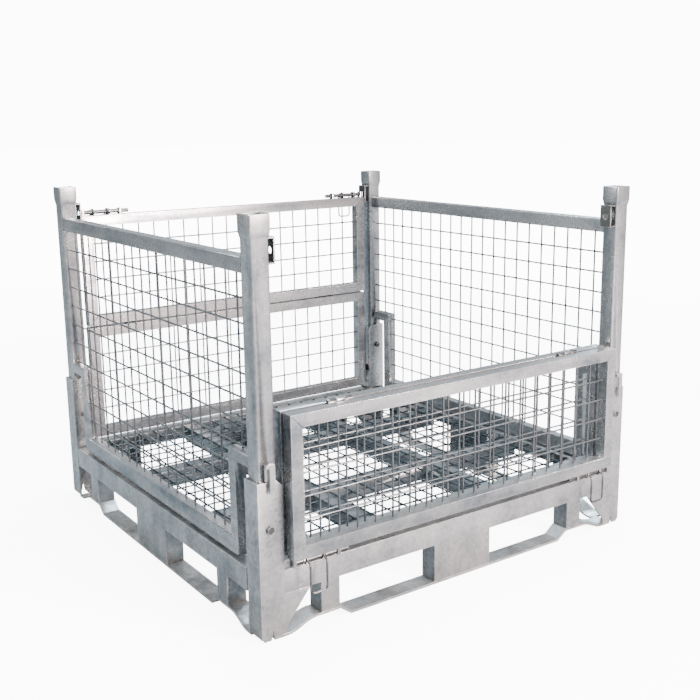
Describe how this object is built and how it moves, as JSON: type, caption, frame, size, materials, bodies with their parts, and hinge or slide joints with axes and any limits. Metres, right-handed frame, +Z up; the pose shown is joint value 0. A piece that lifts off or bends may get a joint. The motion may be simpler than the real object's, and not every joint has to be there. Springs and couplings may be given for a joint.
{
  "type": "wire mesh container",
  "caption": "Collapsible galvanised steel mesh pallet cage: lift-out side frames, half-drop gates front and back, four-way fork base, stacking lugs and sockets.",
  "frame": {"origin": "on the floor, under the middle of the whole outline", "axes": "+Z up; +X along the gates; the gate with its upper half folded down faces -Y"},
  "size_m": [1.165, 1.2115, 0.945],
  "materials": {
    "galvanised_tube": "hot-dip galvanised, satin",
    "galvanised_sheet": "hot-dip galvanised, satin",
    "galvanised_wire": "hot-dip galvanised, satin",
    "zinc_fittings": "zinc plated, dull"
  },
  "bodies": {
    "base": {"apron_front": "galvanised_sheet", "apron_back": "galvanised_sheet", "apron_left": "galvanised_sheet", "apron_right": "galvanised_sheet", "corner_stub_front_left": "galvanised_sheet", "corner_stub_front_right": "galvanised_sheet", "corner_stub_back_left": "galvanised_sheet", "corner_stub_back_right": "galvanised_sheet", "skid_strap_front": "galvanised_sheet", "skid_strap_back": "galvanised_sheet", "skid_strap_left": "galvanised_sheet", "skid_strap_right": "galvanised_sheet", "deck_bearers": "galvanised_tube", "deck_mesh": "galvanised_wire", "left_pivot_bolt_front": "zinc_fittings", "left_pivot_bolt_back": "zinc_fittings", "right_pivot_bolt_front": "zinc_fittings", "right_pivot_bolt_back": "zinc_fittings"},
    "left_side": {"left_top_rail": "galvanised_tube", "left_lower_frame": "galvanised_tube", "left_mesh": "galvanised_wire", "left_post_front": "galvanised_tube", "left_post_back": "galvanised_tube", "left_keeper_front": "zinc_fittings", "left_keeper_back": "zinc_fittings"},
    "left_catch_front": {"left_catch_front": "zinc_fittings"},
    "left_catch_back": {"left_catch_back": "zinc_fittings"},
    "right_side": {"right_top_rail": "galvanised_tube", "right_lower_frame": "galvanised_tube", "right_mesh": "galvanised_wire", "right_post_front": "galvanised_tube", "right_post_back": "galvanised_tube", "right_keeper_front": "zinc_fittings", "right_keeper_back": "zinc_fittings"},
    "right_catch_front": {"right_catch_front": "zinc_fittings"},
    "right_catch_back": {"right_catch_back": "zinc_fittings"},
    "front_gate": {"front_gate_frame": "galvanised_tube", "front_gate_mesh": "galvanised_wire"},
    "front_flap": {"front_flap_frame": "galvanised_tube", "front_flap_mesh": "galvanised_wire", "front_hinge_left": "zinc_fittings", "front_hinge_right": "zinc_fittings"},
    "front_latch_left": {"front_latch_left": "zinc_fittings"},
    "front_bail_left": {"front_bail_left": "zinc_fittings"},
    "front_latch_right": {"front_latch_right": "zinc_fittings"},
    "front_bail_right": {"front_bail_right": "zinc_fittings"},
    "back_gate": {"back_gate_frame": "galvanised_tube", "back_gate_mesh": "galvanised_wire"},
    "back_flap": {"back_flap_frame": "galvanised_tube", "back_flap_mesh": "galvanised_wire", "back_hinge_left": "zinc_fittings", "back_hinge_right": "zinc_fittings"},
    "back_latch_left": {"back_latch_left": "zinc_fittings"},
    "back_bail_left": {"back_bail_left": "zinc_fittings"},
    "back_latch_right": {"back_latch_right": "zinc_fittings"},
    "back_bail_right": {"back_bail_right": "zinc_fittings"}
  },
  "joints": [
    {"name": "left_side_lift", "type": "slide", "parent": "base", "child": "left_side", "axis": [0, 0, 1], "range_m": [0, 0.06]},
    {"name": "left_catch_front_swing", "type": "hinge", "parent": "left_side", "child": "left_catch_front", "pos_m": [-0.56, -0.56375, 0.383], "axis": [0, -1, 0], "range_deg": [0, 90]},
    {"name": "left_catch_back_swing", "type": "hinge", "parent": "left_side", "child": "left_catch_back", "pos_m": [-0.56, 0.58925, 0.383], "axis": [0, -1, 0], "range_deg": [0, 90]},
    {"name": "right_side_lift", "type": "slide", "parent": "base", "child": "right_side", "axis": [0, 0, 1], "range_m": [0, 0.06]},
    {"name": "right_catch_front_swing", "type": "hinge", "parent": "right_side", "child": "right_catch_front", "pos_m": [0.548, -0.56375, 0.408], "axis": [0, -1, 0], "range_deg": [0, 90]},
    {"name": "right_catch_back_swing", "type": "hinge", "parent": "right_side", "child": "right_catch_back", "pos_m": [0.548, 0.58925, 0.408], "axis": [0, -1, 0], "range_deg": [0, 90]},
    {"name": "front_gate_fold", "type": "hinge", "parent": "base", "child": "front_gate", "pos_m": [0, -0.53725, 0.19], "axis": [-1, 0, 0], "range_deg": [0, 90]},
    {"name": "front_flap_fold", "type": "hinge", "parent": "front_gate", "child": "front_flap", "pos_m": [0, -0.56225, 0.521], "axis": [-1, 0, 0], "range_deg": [0, 180]},
    {"name": "front_latch_left_slide", "type": "slide", "parent": "front_flap", "child": "front_latch_left", "axis": [-1, 0, 0], "range_m": [0, 0.018]},
    {"name": "front_bail_left_swing", "type": "hinge", "parent": "front_latch_left", "child": "front_bail_left", "pos_m": [-0.452, -0.58325, 0.176], "axis": [1, 0, 0], "range_deg": [-20, 20]},
    {"name": "front_latch_right_slide", "type": "slide", "parent": "front_flap", "child": "front_latch_right", "axis": [1, 0, 0], "range_m": [0, 0.018]},
    {"name": "front_bail_right_swing", "type": "hinge", "parent": "front_latch_right", "child": "front_bail_right", "pos_m": [0.452, -0.58325, 0.176], "axis": [1, 0, 0], "range_deg": [-20, 20]},
    {"name": "back_gate_fold", "type": "hinge", "parent": "base", "child": "back_gate", "pos_m": [0, 0.56275, 0.19], "axis": [1, 0, 0], "range_deg": [0, 90]},
    {"name": "back_flap_fold", "type": "hinge", "parent": "back_gate", "child": "back_flap", "pos_m": [0, 0.58775, 0.521], "axis": [-1, 0, 0], "range_deg": [0, 180]},
    {"name": "back_latch_left_slide", "type": "slide", "parent": "back_flap", "child": "back_latch_left", "axis": [-1, 0, 0], "range_m": [0, 0.018]},
    {"name": "back_bail_left_swing", "type": "hinge", "parent": "back_latch_left", "child": "back_bail_left", "pos_m": [-0.452, 0.56675, 0.866], "axis": [1, 0, 0], "range_deg": [0, 180]},
    {"name": "back_latch_right_slide", "type": "slide", "parent": "back_flap", "child": "back_latch_right", "axis": [1, 0, 0], "range_m": [0, 0.018]},
    {"name": "back_bail_right_swing", "type": "hinge", "parent": "back_latch_right", "child": "back_bail_right", "pos_m": [0.452, 0.56675, 0.866], "axis": [1, 0, 0], "range_deg": [0, 180]}
  ]
}
